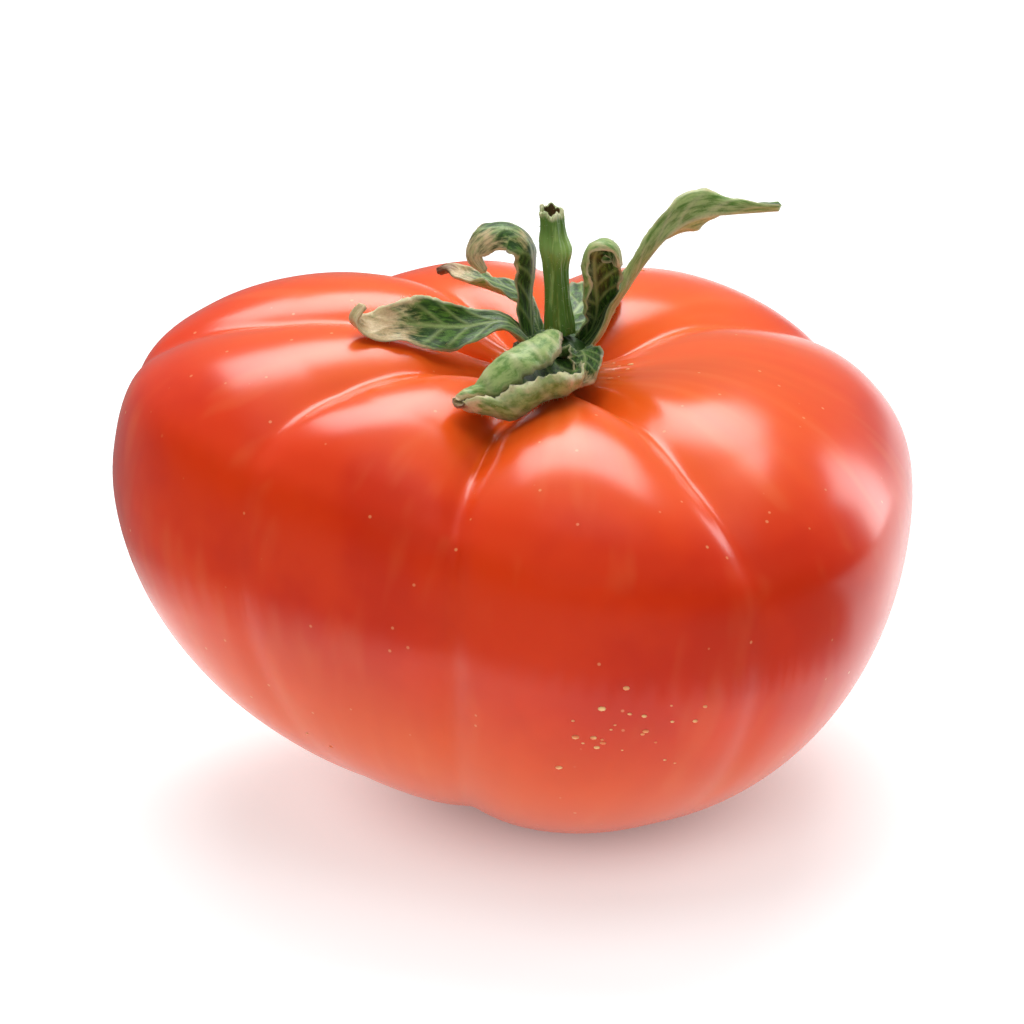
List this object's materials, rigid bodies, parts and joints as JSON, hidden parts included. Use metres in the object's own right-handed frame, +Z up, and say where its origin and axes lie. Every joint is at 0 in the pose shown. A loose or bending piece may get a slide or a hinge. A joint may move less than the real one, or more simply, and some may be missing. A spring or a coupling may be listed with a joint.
{
  "type": "tomato",
  "caption": "Ripe ribbed beefsteak tomato resting slightly tilted, with a dried green calyx of curled sepals in its sunken stem end and a broken stub of stem",
  "frame": {"origin": "the centre of the small flat spot that the tomato rests on", "axes": "+Z up off the flat spot; -Y toward the viewer of the picture, the side with the deepest crease; +X to that viewer's right, the side that the long sepal points to"},
  "size_m": [0.0954, 0.0916, 0.0738],
  "materials": {
    "fruit_skin": "ripe tomato skin, waxy gloss",
    "calyx_green": "drying leaf, matt",
    "stem_green": "green stem, matt"
  },
  "bodies": {
    "root": {"fruit": "fruit_skin", "calyx": "calyx_green", "stem": "stem_green"}
  },
  "joints": []
}
